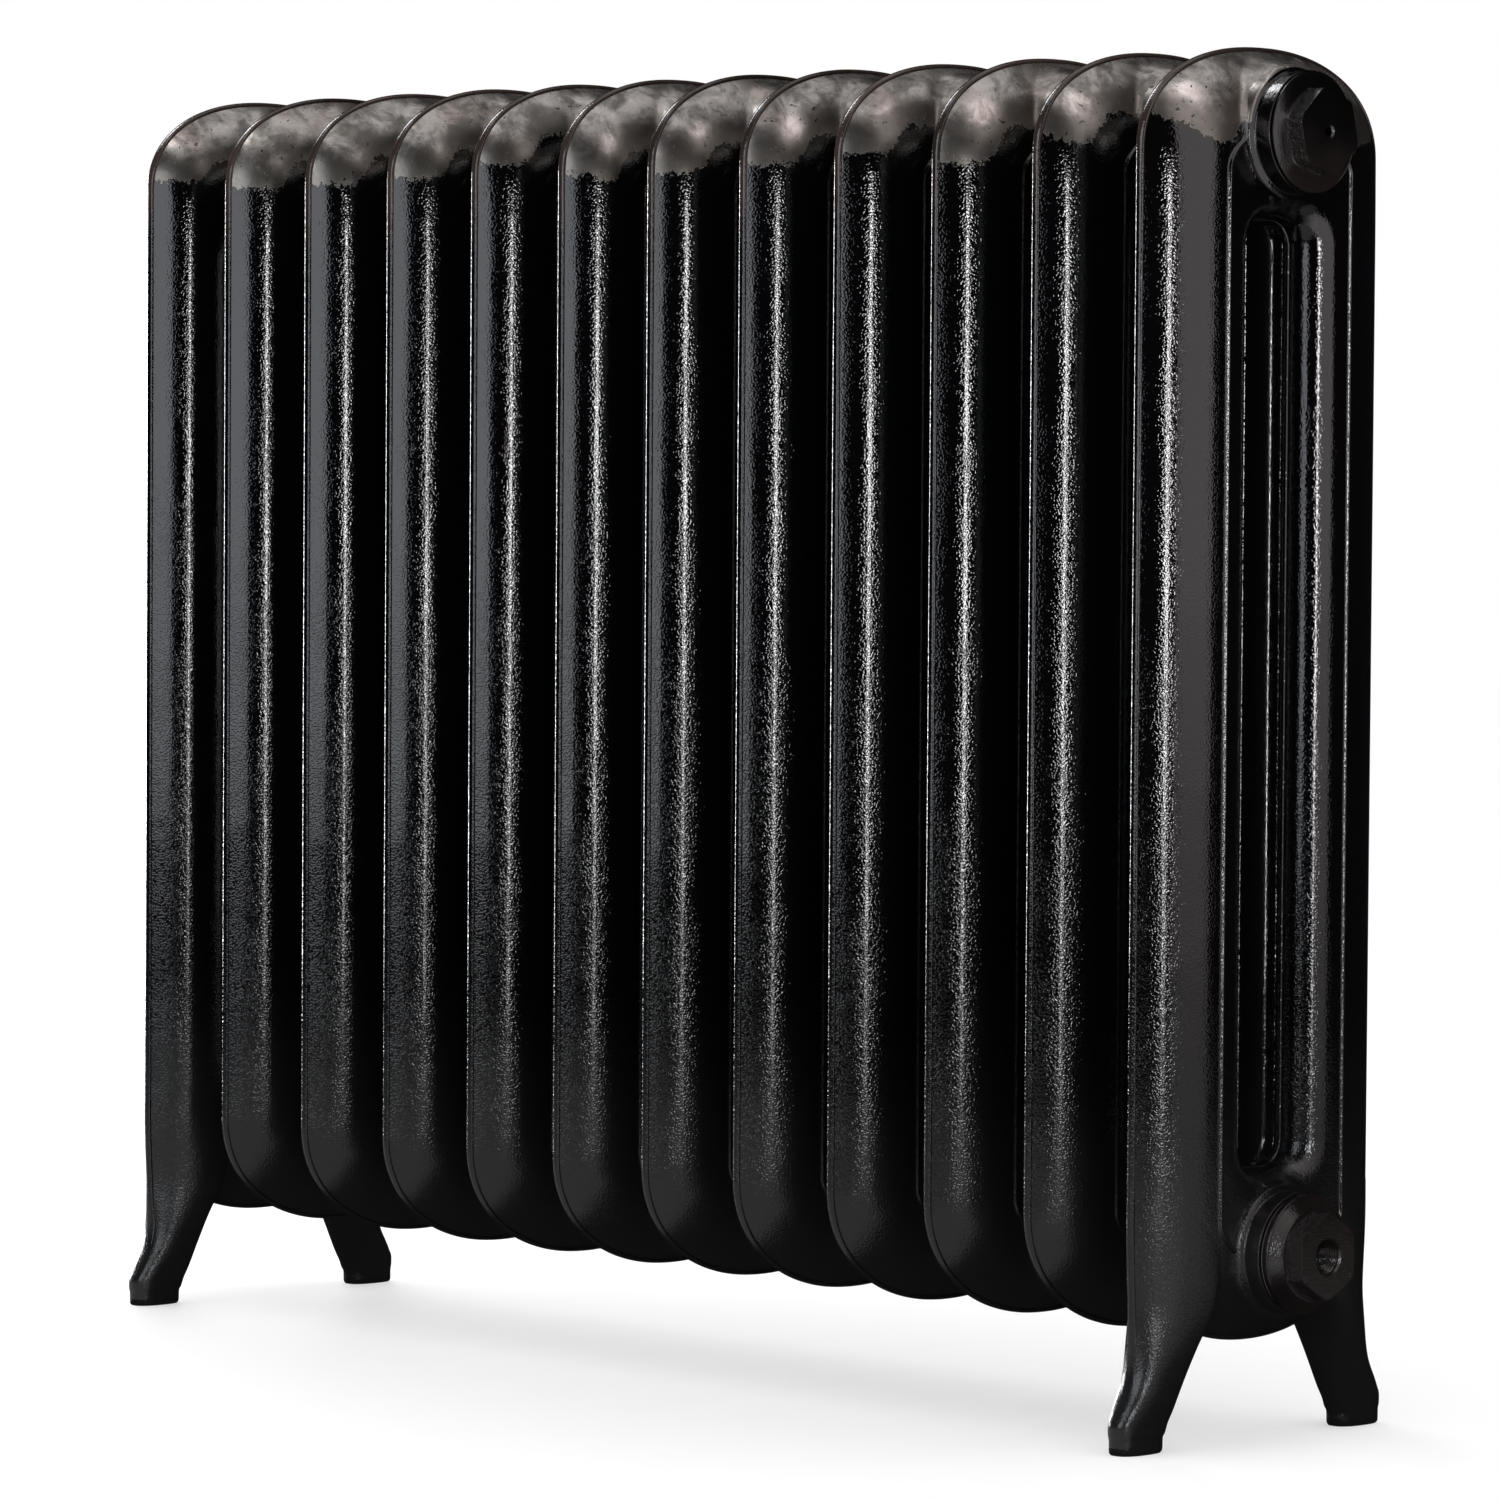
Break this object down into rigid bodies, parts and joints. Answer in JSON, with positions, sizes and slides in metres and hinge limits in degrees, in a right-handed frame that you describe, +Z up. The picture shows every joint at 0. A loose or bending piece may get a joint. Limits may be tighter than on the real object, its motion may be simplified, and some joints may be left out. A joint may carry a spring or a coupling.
{
  "type": "cast iron column radiator",
  "caption": "Free-standing column radiator of cast iron sections joined by nipples, with legs on the end sections, an air vent plug at the top and tapped bushes for valves at the bottom.",
  "frame": {"origin": "on the floor, below the middle of the row of sections", "axes": "+X along the row towards the vented end, -Y to the front, +Z up"},
  "size_m": [0.9582, 0.208, 0.75],
  "materials": {
    "painted_iron": "gloss black enamel over a pebbled casting, burnished to bare warm grey iron on the crown",
    "painted_fitting": "satin black paint over malleable iron",
    "bare_iron": "machined, unpainted",
    "fibre": "matte compressed fibre"
  },
  "bodies": {
    "root": {"section_01": "painted_iron", "section_02": "painted_iron", "section_03": "painted_iron", "section_04": "painted_iron", "section_05": "painted_iron", "section_06": "painted_iron", "section_07": "painted_iron", "section_08": "painted_iron", "section_09": "painted_iron", "section_10": "painted_iron", "section_11": "painted_iron", "section_12": "painted_iron", "top_nipple_01_02": "bare_iron", "bottom_nipple_01_02": "bare_iron", "top_nipple_02_03": "bare_iron", "bottom_nipple_02_03": "bare_iron", "top_nipple_03_04": "bare_iron", "bottom_nipple_03_04": "bare_iron", "top_nipple_04_05": "bare_iron", "bottom_nipple_04_05": "bare_iron", "top_nipple_05_06": "bare_iron", "bottom_nipple_05_06": "bare_iron", "top_nipple_06_07": "bare_iron", "bottom_nipple_06_07": "bare_iron", "top_nipple_07_08": "bare_iron", "bottom_nipple_07_08": "bare_iron", "top_nipple_08_09": "bare_iron", "bottom_nipple_08_09": "bare_iron", "top_nipple_09_10": "bare_iron", "bottom_nipple_09_10": "bare_iron", "top_nipple_10_11": "bare_iron", "bottom_nipple_10_11": "bare_iron", "top_nipple_11_12": "bare_iron", "bottom_nipple_11_12": "bare_iron", "left_top_plug": "painted_fitting", "right_top_vent_plug": "painted_fitting", "left_bottom_bush": "painted_fitting", "right_bottom_bush": "painted_fitting", "left_top_gasket": "fibre", "left_bottom_gasket": "fibre", "right_top_gasket": "fibre", "right_bottom_gasket": "fibre"}
  },
  "joints": []
}
